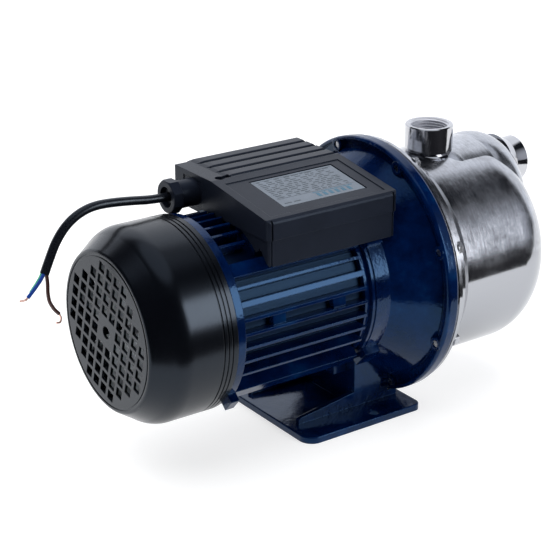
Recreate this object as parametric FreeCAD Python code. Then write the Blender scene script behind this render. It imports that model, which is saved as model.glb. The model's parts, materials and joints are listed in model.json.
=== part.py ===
import FreeCAD, Part

import math
import os

# Shallow well jet pump, millimetres. +X runs along the shaft towards the suction port, +Z is up,
# and the origin is on the floor below the motor-side face of the bracket's flange.

AXIS_Z = 113.6            # shaft height above the floor
FLANGE_R = 108.5          # bracket flange
FLANGE_T = 11.4
FLANGE_BOLT_R = 102.0     # bolt circle radius of the flange
FLANGE_BOLTS = 8
M6_CLEAR_R = 3.2
M6_R = 3.0

NECK_R = 73.5             # bracket neck, and the tips of the housing fins
NECK_X0, NECK_X1 = -48.0, -30.0
HOUSING_X0, HOUSING_X1 = -171.0, -53.0
HOUSING_BORE_R = 60.0
HOUSING_WALL_R = 64.5
SHORT_FIN_PITCH = 8.75    # degrees between the fins on top, behind the terminal box
SPIGOT_R = 64.0

ROD_R = 70.5              # radius of the four tie rods from the shaft
ROD_ANGLES = (42.0, 138.0, 222.0, 318.0)
ROD_RADIUS = 2.4
ROD_HOLE_R = 2.7

STATOR_X0, STATOR_X1 = -143.0, -77.0
STATOR_BORE_R = 34.4
ROTOR_R = 34.0
SLOTS = 24

BALLS = 8
BALL_GAP = 0.05

COVER_X0 = -246.8         # outer face of the fan grille
COVER_SHOULDER_X = -217.5
COVER_X1 = -178.6
COVER_GRILLE_R = 63.6
COVER_R = 78.2
COVER_WALL = 2.2
GRILLE_PITCH = 11.0
GRILLE_HOLE = 8.0
GRILLE_TURN = 16.0
GRILLE_REACH = 53.0

CASING_R = 88.3
CASING_WALL = 2.0
CASING_END_X = 142.8
CASING_ROUND = 40.0
CASING_STEP_R = 95.0
CASING_FLANGE_R = 106.5
BULGE_R = 52.3            # jet housing pressed out of the casing's top, round its own line
BULGE_Z = AXIS_Z + 40.0
SEAL_PLATE_X = FLANGE_T
CASING_FLANGE_X0, CASING_FLANGE_X1 = 13.4, 16.4

PORT_R = 20.15
PORT_BORE_R = 15.2        # minor radius of the G1 thread
PORT_THREAD_L = 20.0
PORT_PASSAGE_R = 12.5
DISCHARGE_X = 67.0
DISCHARGE_TOP = AXIS_Z + 110.8
SUCTION_Z = AXIS_Z + 62.8
SUCTION_END_X = 164.4

FOOT_X0, FOOT_X1 = -102.9, 15.0
FOOT_HALF_W = 63.5
FOOT_T = 5.75
FOOT_HOLE_X, FOOT_HOLE_Y, FOOT_HOLE_R = -29.0, 54.3, 4.75
PEDESTAL_X0, PEDESTAL_X1, PEDESTAL_HALF_W = -36.0, 9.0, 36.5
FOOT_SCREW_X = (-28.0, -14.0)

BOX_X0, BOX_X1 = -143.6, -19.5
BOX_HALF_W = 66.15
BOX_SPLIT_Z = AXIS_Z + 70.0
BOX_LOW_Z = AXIS_Z + 49.2
BOX_GROOVE_Z = AXIS_Z + 94.6     # bottom of the grooves between the cover's ribs
BOX_TOP_Z = AXIS_Z + 97.4
BOX_RIB_Z = AXIS_Z + 98.4
BOX_FRONT_Z = AXIS_Z + 86.1
SLOPE_TOP = (8.0, AXIS_Z + 97.0)      # y, z of the slope's upper and lower lines
SLOPE_LOW = (-63.15, BOX_FRONT_Z + 0.5)
BOX_WALL = 2.5
RIB_SPOTS = (59.6, 45.9, 32.2, 18.5)
RIB_HALF_W = 5.5
LABEL_L, LABEL_W = 78.0, 46.0
LABEL_X, LABEL_Y = -77.0, -25.5
GLAND_Y, GLAND_Z = 37.1, AXIS_Z + 82.0
GLAND_NUT_X = -168.5
GLAND_NUT_R = 13.9

CORD_D = 7.2
CORE_D = 2.9
STRAND_D = 1.5

X_AXIS = FreeCAD.Vector(1, 0, 0)
Z_AXIS = FreeCAD.Vector(0, 0, 1)
ON_SHAFT = FreeCAD.Vector(0, 0, AXIS_Z)


# ---------------------------------------------------------------- helpers

def vec(x, y, z):
    return FreeCAD.Vector(x, y, z)


def box(x0, x1, y0, y1, z0, z1):
    return Part.makeBox(x1 - x0, y1 - y0, z1 - z0, vec(x0, y0, z0))


def rod(x0, x1, r, y=0.0, z=AXIS_Z):
    """A cylinder along X."""
    return Part.makeCylinder(r, x1 - x0, vec(x0, y, z), X_AXIS)


def tube(x0, x1, r_out, r_in, y=0.0, z=AXIS_Z):
    return rod(x0, x1, r_out, y, z).cut(rod(x0 - 1, x1 + 1, r_in, y, z))


def cone(x0, x1, r0, r1, y=0.0, z=AXIS_Z):
    return Part.makeCone(r0, r1, x1 - x0, vec(x0, y, z), X_AXIS)


def post(x, y, z0, z1, r):
    """A cylinder along Z."""
    return Part.makeCylinder(r, z1 - z0, vec(x, y, z0), Z_AXIS)


def spin(profile):
    """The solid swept by a closed (x, radius) profile about the shaft line."""
    points = [vec(x, 0, AXIS_Z + r) for x, r in profile]
    face = Part.Face(Part.makePolygon(points + [points[0]]))
    return face.revolve(ON_SHAFT, X_AXIS, 360)


def spin_edges(edges):
    face = Part.Face(Part.Wire(edges))
    return face.revolve(ON_SHAFT, X_AXIS, 360)


def turned(shape, degrees):
    copy = shape.copy()
    copy.rotate(ON_SHAFT, X_AXIS, degrees)
    return copy


def around(shape, count, first=0.0):
    return [turned(shape, first + 360.0 * i / count) for i in range(count)]


def fuse(shapes):
    return shapes[0].multiFuse(shapes[1:]).removeSplitter()


def on_circle(radius, degrees):
    """Y and Z of a point round the shaft; 0 degrees is +Y and 90 is up."""
    a = math.radians(degrees)
    return radius * math.cos(a), AXIS_Z + radius * math.sin(a)


def hexagon(x0, x1, across_flats, y, z):
    r = across_flats / math.sqrt(3)
    corners = []
    for i in range(7):
        a = math.radians(60 * i + 30)
        corners.append(vec(x0, y + r * math.cos(a), z + r * math.sin(a)))
    return Part.Face(Part.makePolygon(corners)).extrude(vec(x1 - x0, 0, 0))


def flange_bolt_spots():
    step = 360.0 / FLANGE_BOLTS
    return [on_circle(FLANGE_BOLT_R, step * (i + 0.5)) for i in range(FLANGE_BOLTS)]


def rod_spots():
    return [on_circle(ROD_R, a) for a in ROD_ANGLES]


def round_path(points, share=0.45):
    """Straight runs joined by tangent arcs, and the smallest arc radius."""
    edges = []
    start = points[0]
    smallest = 1e9
    for before, corner, after in zip(points, points[1:], points[2:]):
        back = (before - corner).normalize()
        ahead = (after - corner).normalize()
        half_turn = (math.pi - back.getAngle(ahead)) / 2
        short = min((before - corner).Length, (after - corner).Length)
        reach = share * short
        radius = reach / math.tan(half_turn)
        smallest = min(smallest, radius)
        first = corner + back * reach
        last = corner + ahead * reach
        inward = (back + ahead).normalize()
        centre = corner + inward * (radius / math.cos(half_turn))
        middle = centre - inward * radius
        edges.append(Part.makeLine(start, first))
        edges.append(Part.Arc(first, middle, last).toShape())
        start = last
    edges.append(Part.makeLine(start, points[-1]))
    return Part.Wire(edges), smallest


def bend_tube(points, diameter):
    path, smallest = round_path(points)
    circle = Part.makeCircle(diameter / 2, points[0], points[1] - points[0])
    solid = path.makePipeShell([Part.Wire(circle)], True, True)
    area = math.pi * diameter * diameter / 4
    print("tube d", diameter, "length", round(path.Length, 1), "min radius", round(smallest, 1),
          "volume ratio", round(solid.Volume / (area * path.Length), 4))
    return solid


# ---------------------------------------------------------------- bracket and housing

def bracket_outline():
    """The bracket's outer surface, solid inside."""
    return spin([(NECK_X0, 0), (NECK_X0, NECK_R), (-45.6, NECK_R), (-45.2, 72.3), (-44.4, 72.3),
                 (-44.0, NECK_R), (NECK_X1, NECK_R), (3.0, 98.0), (FLANGE_T, 98.0),
                 (FLANGE_T, 0)])


def flange_ring():
    ring = tube(0, FLANGE_T, FLANGE_R, 90)
    ring = ring.makeFillet(2.6, [e for e in ring.Edges if abs(e.Length - 2 * math.pi * FLANGE_R) < 1])
    return ring.cut(tube(-1, 4.0, 105.4, 80))


def bracket():
    body = bracket_outline().fuse(flange_ring())
    bosses = [rod(-0.2, 5.0, 5.6, y, z) for y, z in flange_bolt_spots()]
    ears = [turned(box(NECK_X0, -33, 60, 80, AXIS_Z - 9, AXIS_Z + 9), a) for a in ROD_ANGLES]
    pad = box(NECK_X0, -8, -24, 24, AXIS_Z - 80, AXIS_Z - 60)
    body = fuse([body] + bosses + ears + [pad])
    cavity = spin([(12, 0), (12, 91), (5.5, 91), (-24, 68), (-24, 0)])
    motor_side = spin([(-49, 0), (-49, 60.5), (-30, 60.5), (-30, 0)])
    web = spin([(-43, 20.0), (-43, 27), (-30, 27), (-30, 61), (-24, 61), (-24, 12.0),
                (-28.8, 12.0), (-28.8, 20.0)])
    body = body.cut(cavity).cut(motor_side).fuse(web)
    body = body.fuse(tube(-52, NECK_X0, SPIGOT_R, 60.5))
    drains = [turned(box(-31, -23, 34, 52, AXIS_Z - 6, AXIS_Z + 6), a) for a in (90, 210, 330)]
    holes = [rod(-2, 13, M6_R, y, z) for y, z in flange_bolt_spots()]
    holes += [rod(-50, -35, ROD_RADIUS, y, z) for y, z in rod_spots()]
    holes += [post(x, 0, 20, AXIS_Z - 61, M6_R) for x in FOOT_SCREW_X]
    body = body.cut(rod(-31, -23, 12.0)).cut(rod(-43.1, -28.8, 20.0))
    return body.cut(Part.makeCompound(holes + drains)).removeSplitter()


def fin_angles():
    """Fin centres on the near side, degrees above the horizontal, with their half widths."""
    return [(31.2, 1.3), (21.3, 2.3), (11.7, 1.4), (2.8, 1.3), (-6.2, 1.2), (-15.6, 1.2),
            (-25.8, 1.2), (-57.0, 1.2), (-67.0, 1.2), (-78.0, 1.2)]


def short_fins():
    """Fins on top of the housing, between its rear end and the terminal box."""
    fin = box(HOUSING_X0 + 2.7, BOX_X0 - 1.0, -1.2, 1.2, AXIS_Z + 62, AXIS_Z + NECK_R)
    return [turned(fin, SHORT_FIN_PITCH * (i + 0.5)) for i in range(-4, 4)]


def motor_housing():
    fins = []
    for angle, half in fin_angles():
        fin = box(HOUSING_X0, HOUSING_X1, -NECK_R, -62, AXIS_Z - half, AXIS_Z + half)
        fin = turned(fin, -angle)
        fins.append(fin)
        fins.append(fin.mirror(ON_SHAFT, vec(0, 1, 0)))
    rails = []
    for angle, tip in zip(ROD_ANGLES, (74.8, 74.8, 77.0, 77.0)):
        rail = box(HOUSING_X0, HOUSING_X1, 62, tip, AXIS_Z - 5.6, AXIS_Z + 5.6)
        rails.append(turned(rail, angle))
    pads = []
    for x in (-142, -85):
        pad = turned(box(x, x + 12, -71.0, -62, AXIS_Z - 5, AXIS_Z + 3), -8.0)
        pads.append(pad)
    top = box(-138, -28 - 20, -40, 40, AXIS_Z + 40, AXIS_Z + 70.0)
    shell = rod(HOUSING_X0, HOUSING_X1, HOUSING_WALL_R)
    front_ring = rod(HOUSING_X1, NECK_X0, 70.0)
    body = fuse([shell, front_ring] + fins + short_fins() + rails + pads + [top])
    bore = rod(HOUSING_X0 - 1, NECK_X0 + 1, HOUSING_BORE_R)
    front_seat = rod(-52, NECK_X0 + 1, SPIGOT_R)
    holes = [rod(HOUSING_X0 - 1, NECK_X0 + 1, ROD_HOLE_R, y, z) for y, z in rod_spots()]
    window = box(-110, -80, -14, 14, AXIS_Z + 50, AXIS_Z + 71)
    screws = [post(x, y, AXIS_Z + 62.5, AXIS_Z + 71, 1.8) for x, y in box_screw_spots()]
    return body.cut(Part.makeCompound([bore, front_seat])).cut(
        Part.makeCompound(holes + [window] + screws)).removeSplitter()


def rear_end_shield():
    plate = rod(-178.6, HOUSING_X0, 77.0)
    plate = plate.makeFillet(1.0, plate.Edges[2])
    lugs = [turned(box(-178.6, HOUSING_X0, 62, 84.5, AXIS_Z - 6.5, AXIS_Z + 6.5), a)
            for a in ROD_ANGLES[2:]]
    spigot = rod(HOUSING_X0, -167, HOUSING_BORE_R)
    lip = tube(-186, -178.6, COVER_R - COVER_WALL, 71.5)
    hub = rod(-180.6, -160, 22.5)
    lip = lip.cut(Part.makeCompound([turned(box(-190, -170, 60, 80, AXIS_Z - 7, AXIS_Z + 7), a)
                                     for a in ROD_ANGLES]))
    body = fuse([plate, spigot, hub, lip] + lugs)
    body = body.cut(spin([(-174, 24), (-174, 57.0), (-166, 57.0), (-166, 24)]))
    body = body.cut(rod(-175.2, -159, 17.5)).cut(rod(-182, -174, 10.0))
    holes = [rod(-180, -165, ROD_HOLE_R, y, z) for y, z in rod_spots()]
    vents = [turned(box(-179, -165, 36, 50, AXIS_Z - 4, AXIS_Z + 4), 45.0 * i) for i in range(8)]
    return body.cut(Part.makeCompound(holes + vents))


def tie_rods():
    rods = []
    for y, z in rod_spots():
        shank = rod(-178.6, -37, ROD_RADIUS, y, z)
        rods.append(shank.fuse(hexagon(-182.4, -178.6, 8.0, y, z)))
    return Part.makeCompound(rods)


# ---------------------------------------------------------------- motor internals

def slot_cutters(x0, x1):
    return [turned(box(x0, x1, 39, 51, AXIS_Z - 1.9, AXIS_Z + 1.9), 360.0 * i / SLOTS)
            for i in range(SLOTS)]


def stator_core():
    return tube(STATOR_X0, STATOR_X1, HOUSING_BORE_R, STATOR_BORE_R).cut(
        Part.makeCompound(slot_cutters(STATOR_X0 - 1, STATOR_X1 + 1)))


def stator_windings():
    rings = []
    for x0, x1 in ((STATOR_X0 - 16, STATOR_X0), (STATOR_X1, STATOR_X1 + 20)):
        rings.append(spin([(x0 + 2, 37), (x0, 41), (x0, 50), (x0 + 3, 54), (x1, 54), (x1, 37)]))
    return fuse(rings + slot_cutters(STATOR_X0 - 1, STATOR_X1 + 1))


def rotor_core():
    core = tube(STATOR_X0, STATOR_X1, ROTOR_R, 10.0)
    ends = [tube(STATOR_X0 - 5, STATOR_X0, 32.5, 21), tube(STATOR_X1, STATOR_X1 + 5, 32.5, 21)]
    blade = box(STATOR_X1 + 5, STATOR_X1 + 10, 23, 31, AXIS_Z - 1.2, AXIS_Z + 1.2)
    return fuse([core] + ends + around(blade, 10))


def shaft():
    body = spin([(-229, 0), (-229, 5.6), (-228.4, 6.0), (-196, 6.0), (-196, 7.0), (-175, 7.0),
                 (-175, 7.5), (-162, 7.5), (-162, 9.5), (STATOR_X0 - 2, 9.5),
                 (STATOR_X0 - 2, 10.0), (STATOR_X1, 10.0), (STATOR_X1, 9.6), (-42, 9.6),
                 (-42, 8.5), (-29, 8.5), (-29, 7.0), (28.1, 7.0), (28.1, 6.0), (44, 6.0), (44, 4.0),
                 (53.4, 4.0), (54, 3.5), (54, 0)])
    return body.cut(box(30, 44, -2, 2, AXIS_Z + 3.6, AXIS_Z + 8))


def shaft_key():
    return box(31, 43, -2, 2, AXIS_Z + 3.6, AXIS_Z + 7.6)


def bearing(x0, bore, outside, width, ball_r):
    """Outer race, inner race, balls and cage of one deep groove bearing."""
    pitch = (bore + outside) / 2
    middle = x0 + width / 2
    torus = Part.makeTorus(pitch, ball_r + BALL_GAP, vec(middle, 0, AXIS_Z), X_AXIS)
    outer = tube(x0, x0 + width, outside, pitch + 0.62 * ball_r).cut(torus)
    inner = tube(x0, x0 + width, pitch - 0.62 * ball_r, bore).cut(torus)
    cy, cz = on_circle(pitch, 0)
    ball = Part.makeSphere(ball_r, vec(middle, cy, cz))
    balls = around(ball, BALLS)
    pocket = Part.makeSphere(ball_r + 0.04, vec(middle, cy, cz))
    half = ball_r * 1.3
    cage = tube(middle - half, middle + half, pitch + 0.25 * ball_r, pitch - 0.25 * ball_r)
    cage = cage.cut(Part.makeCompound(around(pocket, BALLS)))
    return outer, inner, Part.makeCompound(balls), cage


def wave_washer():
    ring = tube(-175.1, -174.3, 17.0, 12.5)
    crest = box(-175.2, -174.0, 12.5, 17.0, AXIS_Z - 2, AXIS_Z + 2)
    return fuse([ring] + around(crest, 3)).common(tube(-175.2, -174.0, 17.0, 12.5))


def fan():
    hub = tube(-218, -198, 11, 6.0)
    disc = tube(-201.5, -199, 58, 10.5)
    blade = box(-242, -200, 10, 64, AXIS_Z - 1.0, AXIS_Z + 1.0)
    limit = spin([(-242, 0), (-242, 56), (-230, 64), (-198, 64), (-198, 0)])
    blade = blade.cut(spin([(-243, 0), (-243, 18), (-219, 11), (-219, 0)])).common(limit)
    return fuse([hub, disc] + around(blade, 8, 10.0))


def fan_clip():
    ring = tube(-220.2, -218, 9.5, 6.0)
    return ring.cut(box(-221, -217, 0, 12, AXIS_Z - 2.5, AXIS_Z + 2.5))


def cover_edges(inset):
    """Half outline of the fan cover, closed along the shaft line, moved in by inset."""
    def at(x, radius):
        return vec(x, 0, AXIS_Z + radius)

    rim = at(COVER_X0 + inset, COVER_GRILLE_R - 1.5 - inset)
    lip = at(COVER_X0 + 1.4 + inset, COVER_GRILLE_R + 0.8 - inset)
    shoulder = at(-232.5, 73.0 - inset)
    flank = at(COVER_SHOULDER_X, COVER_R - inset)
    end = at(COVER_X1 + inset, COVER_R - inset)
    start, stop = at(COVER_X0 + inset, 0), at(COVER_X1 + inset, 0)
    corner = at(COVER_X0 + 0.4 + inset, COVER_GRILLE_R - 0.25 - inset)
    bend = at(-225.5, 76.95 - inset)
    return [Part.makeLine(start, rim), Part.Arc(rim, corner, lip).toShape(),
            Part.makeLine(lip, shoulder), Part.Arc(shoulder, bend, flank).toShape(),
            Part.makeLine(flank, end), Part.makeLine(end, stop), Part.makeLine(stop, start)]


def fan_cover():
    body = spin_edges(cover_edges(0.0)).cut(spin_edges(cover_edges(COVER_WALL)))
    grooves = [tube(x, x + 1.2, COVER_R + 1, COVER_R - 0.7) for x in (-191.4, -187.6, -184.0)]
    bead = tube(COVER_X0 - 1, COVER_X0 + 0.6, COVER_GRILLE_R - 2.6, COVER_GRILLE_R - 4.2)
    return body.cut(Part.makeCompound(grooves + [bead] + grille_holes()))


def grille_holes():
    holes = [rod(COVER_X0 - 1, COVER_X0 + COVER_WALL + 2, 5.0)]
    half = GRILLE_HOLE / 2
    count = int(GRILLE_REACH / GRILLE_PITCH) + 1
    steps = [i + 0.5 for i in range(-count, count)]
    for i in steps:
        for j in steps:
            reach = GRILLE_PITCH * math.hypot(i, j)
            if reach > GRILLE_REACH or reach < 0.9 * GRILLE_PITCH:
                continue
            y, z = i * GRILLE_PITCH, AXIS_Z + j * GRILLE_PITCH
            hole = box(COVER_X0 - 1, COVER_X0 + COVER_WALL + 2, y - half, y + half,
                       z - half, z + half)
            holes.append(turned(hole, GRILLE_TURN))
    return holes


# ---------------------------------------------------------------- pump head

def casing_line(inset):
    """Half outline of the casing from its flange to its nose, as edges, moved in by inset."""
    r = CASING_R - inset
    nose = CASING_END_X - inset
    arc_r = CASING_ROUND - inset
    cx, cr = CASING_END_X - CASING_ROUND, CASING_R - CASING_ROUND
    k = math.sqrt(0.5)

    def at(x, radius):
        return vec(x, 0, AXIS_Z + radius)

    step_r = CASING_STEP_R - inset
    bend = CASING_FLANGE_X1 + 13.0
    edges = [Part.makeLine(at(CASING_FLANGE_X0, step_r), at(bend, step_r)),
             Part.makeLine(at(bend, step_r), at(bend + 9.0, r)),
             Part.makeLine(at(bend + 9.0, r), at(cx, r)),
             Part.Arc(at(cx, r), at(cx + arc_r * k, cr + arc_r * k), at(nose, cr)).toShape(),
             Part.makeLine(at(nose, cr), at(nose, 0)),
             Part.makeLine(at(nose, 0), at(CASING_FLANGE_X0, 0)),
             Part.makeLine(at(CASING_FLANGE_X0, 0), at(CASING_FLANGE_X0, step_r))]
    return edges


def bulge(inset):
    """The jet housing pressed out of the casing's top, moved in by inset."""
    r = BULGE_R - inset
    x0, x1 = 60.0 + inset, CASING_END_X - 0.2 - inset

    def at(x, radius):
        return vec(x, 0, BULGE_Z + radius)

    start, first = at(x0, r - 14), at(x0 + 22, r)
    last, front = at(112, r), at(x1, r - 13)
    edges = [Part.makeLine(at(x0, 0), start),
             Part.Arc(start, at(x0 + 8, r - 3.6), first).toShape(), Part.makeLine(first, last),
             Part.Arc(last, at(x1 - 8.6, r - 3.2), front).toShape(), Part.makeLine(front, at(x1, 0)),
             Part.makeLine(at(x1, 0), at(x0, 0))]
    return Part.Face(Part.Wire(edges)).revolve(vec(0, 0, BULGE_Z), X_AXIS, 360)


def plug_spots():
    """Y and Z of the priming plug and of the drain plug on the casing's nose."""
    return (26.0, AXIS_Z + 26.0), (0.0, AXIS_Z - 36.0)


def pump_casing():
    shell = spin_edges(casing_line(0.0)).fuse(bulge(0.0))
    flange = tube(CASING_FLANGE_X0, CASING_FLANGE_X1, CASING_FLANGE_R, 60)
    body = shell.fuse(flange)
    for y, z in plug_spots():
        body = body.fuse(rod(CASING_END_X - 4, CASING_END_X + 3, 10.5, y, z))
    body = body.cut(spin_edges(casing_line(CASING_WALL)).fuse(bulge(CASING_WALL)))
    holes = [rod(12, 18, M6_CLEAR_R, y, z) for y, z in flange_bolt_spots()]
    holes += [rod(CASING_END_X - 6, CASING_END_X + 4, 6.0, y, z) for y, z in plug_spots()]
    body = body.cut(Part.makeCompound(holes))
    return body.cut(suction_outline()).cut(discharge_outline()).removeSplitter()


def suction_outline():
    socket = rod(SUCTION_END_X - 22.0, SUCTION_END_X, PORT_R, 0, SUCTION_Z)
    socket = socket.makeChamfer(0.8, [socket.Edges[0], socket.Edges[2]])
    neck = rod(122, SUCTION_END_X - 21.0, 16.9, 0, SUCTION_Z)
    flare = cone(CASING_END_X - 0.6, CASING_END_X + 9.0, 25.0, PORT_R, 0, SUCTION_Z)
    return fuse([socket, neck, flare])


def suction_port():
    mouth = cone(SUCTION_END_X - 1.6, SUCTION_END_X, PORT_BORE_R, PORT_BORE_R + 1.6, 0, SUCTION_Z)
    bore = rod(SUCTION_END_X - PORT_THREAD_L, SUCTION_END_X + 1, PORT_BORE_R, 0, SUCTION_Z)
    passage = rod(121, SUCTION_END_X, PORT_PASSAGE_R, 0, SUCTION_Z)
    return suction_outline().cut(bore.fuse(mouth)).cut(passage)


def discharge_outline():
    x = DISCHARGE_X
    socket = post(x, 0, DISCHARGE_TOP - 22.5, DISCHARGE_TOP, PORT_R)
    socket = socket.makeChamfer(0.8, [socket.Edges[0], socket.Edges[2]])
    neck = post(x, 0, AXIS_Z + 82, DISCHARGE_TOP - 22.0, 17.4)
    foot = Part.makeCone(24.5, 17.4, 6.5, vec(x, 0, AXIS_Z + 83.0), Z_AXIS)
    foot = foot.cut(rod(0, 140, CASING_R))
    return fuse([socket, neck, foot])


def discharge_port():
    x = DISCHARGE_X
    mouth = Part.makeCone(PORT_BORE_R, PORT_BORE_R + 1.6, 1.6, vec(x, 0, DISCHARGE_TOP - 1.6),
                          Z_AXIS)
    bore = post(x, 0, DISCHARGE_TOP - PORT_THREAD_L, DISCHARGE_TOP + 1, PORT_BORE_R)
    passage = post(x, 0, AXIS_Z + 80, DISCHARGE_TOP, PORT_PASSAGE_R)
    return discharge_outline().cut(bore.fuse(mouth)).cut(passage)


def plug(y, z):
    thread = rod(CASING_END_X - 5, CASING_END_X + 3.6, 6.0, y, z)
    collar = rod(CASING_END_X + 4.8, CASING_END_X + 6.4, 10.0, y, z)
    neck = rod(CASING_END_X + 3, CASING_END_X + 5.2, 6.0, y, z)
    return fuse([thread, neck, collar, hexagon(CASING_END_X + 6.4, CASING_END_X + 12.4, 15, y, z)])


def plug_washer(y, z):
    return tube(CASING_END_X + 3, CASING_END_X + 4.8, 9.4, 6.0, y, z)


def casing_bolts():
    bolts = []
    for y, z in flange_bolt_spots():
        shank = rod(0.6, CASING_FLANGE_X1 + 1.2, M6_R, y, z)
        washer = rod(CASING_FLANGE_X1, CASING_FLANGE_X1 + 1.2, 5.6, y, z)
        head = hexagon(CASING_FLANGE_X1 + 1.2, CASING_FLANGE_X1 + 5.4, 9.4, y, z)
        bolts.append(fuse([shank, washer, head]))
    return Part.makeCompound(bolts)


def seal_plate():
    disc = rod(SEAL_PLATE_X, CASING_FLANGE_X0, 105.5)
    cup = rod(3.6, SEAL_PLATE_X, 15.0)
    body = disc.fuse(cup).cut(rod(5.6, 14, 13.0)).cut(rod(3, 6, 8.5))
    holes = [rod(10, 15, M6_CLEAR_R, y, z) for y, z in flange_bolt_spots()]
    groove = tube(12.4, 14, 90.5, 88.1)
    return body.cut(Part.makeCompound(holes)).cut(groove)


def casing_o_ring():
    return tube(12.4, 14.2, 90.5, 88.1)


def seal_seat():
    return tube(5.6, 11.0, 13.0, 7.6)


def seal_head():
    return fuse([tube(11.1, 15.5, 11.2, 7.0), tube(15.5, 26.0, 9.2, 7.0), tube(26.0, 28.0, 12.4, 7.0)])


def seal_bellows():
    """Convoluted sleeve that presses the seal's rotating ring against its seat."""
    x, folds, pitch = 16.3, 4, 2.3
    outer = [(x + pitch * (i / 2), 12.6 if i % 2 else 10.8) for i in range(2 * folds + 1)]
    inner = [(at, radius - 0.8) for at, radius in reversed(outer)]
    return spin(outer + inner)


def impeller_vane(x0, x1):
    """One backswept vane from the eye to the rim, as an arc-shaped wall."""
    outer = Part.makeCylinder(46.0, x1 - x0, vec(x0, 8.0, AXIS_Z + 33.0), X_AXIS)
    inner = Part.makeCylinder(44.2, x1 - x0, vec(x0, 8.0, AXIS_Z + 33.0), X_AXIS)
    wall = outer.cut(inner).common(tube(x0, x1, 59.5, 20))
    half = box(x0, x1, -80, 80, AXIS_Z - 80, AXIS_Z + 2)
    wall = wall.common(half)
    solids = sorted(wall.Solids, key=lambda s: s.Volume)
    return solids[-1]


def impeller():
    back = tube(30.0, 32.5, 60.0, 6.0)
    hub = tube(28.2, 44.0, 10.5, 6.0)
    front = tube(38.0, 40.5, 60.0, 17.0)
    eye = tube(40.5, 46.0, 19.5, 17.0)
    vanes = around(impeller_vane(32.0, 38.5), 6)
    body = fuse([back, hub, front, eye] + vanes)
    return body.cut(box(28, 44.1, -2, 2, AXIS_Z + 3.6, AXIS_Z + 7.6)).cut(rod(27, 45, 6.0))


def impeller_nut():
    nut = hexagon(44.0, 50.5, 13.0, 0, AXIS_Z)
    return nut.cut(rod(43, 52, 4.0))


def diffuser():
    wall = tube(CASING_FLANGE_X0, 50.0, 82.0, 79.0)
    front = tube(47.0, 50.0, 82.0, 16.5)
    eye = tube(43.0, 47.0, 23.5, 20.0)
    vane = turned(box(30.0, 47.5, 63, 79.5, AXIS_Z - 1.2, AXIS_Z + 1.2), 0)
    vane.rotate(vec(0, 71, AXIS_Z), X_AXIS, 55)
    vane = vane.common(tube(29, 48, 80, 62.2))
    body = fuse([wall, front, eye] + around(vane, 9))
    ports = [turned(box(14, 29, 74, 84, AXIS_Z - 15, AXIS_Z + 15), 60.0 * i) for i in range(6)]
    return body.cut(Part.makeCompound(ports))


def venturi_tube():
    return spin([(50, 16.0), (50, 21.0), (53, 21.0), (53, 18.8), (86, 11.0), (104, 11.0),
                 (104, 9.0), (97, 7.0), (92, 7.0)])


def ejector_body():
    barrel = rod(88, 126, 20.0)
    limb_x = 104.5
    limb = post(limb_x, 0, AXIS_Z, SUCTION_Z, 16.9)
    cap = Part.makeSphere(16.9, vec(limb_x, 0, SUCTION_Z))
    stub = rod(limb_x, 122, 16.9, 0, SUCTION_Z)
    body = fuse([barrel, limb, cap, stub])
    passage = fuse([rod(92, 122, 16.5), post(limb_x, 0, AXIS_Z, SUCTION_Z, PORT_PASSAGE_R),
                    Part.makeSphere(PORT_PASSAGE_R, vec(limb_x, 0, SUCTION_Z)),
                    rod(limb_x, 123, PORT_PASSAGE_R, 0, SUCTION_Z)])
    return body.cut(passage).cut(rod(87, 93, 11.0)).cut(rod(121, 127, 9.0))


def ejector_nozzle():
    return spin([(129, 4.0), (129, 12.0), (126, 12.0), (126, 9.0), (120, 9.0), (107, 5.4),
                 (107, 3.2), (112, 3.2)])


# ---------------------------------------------------------------- foot

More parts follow.
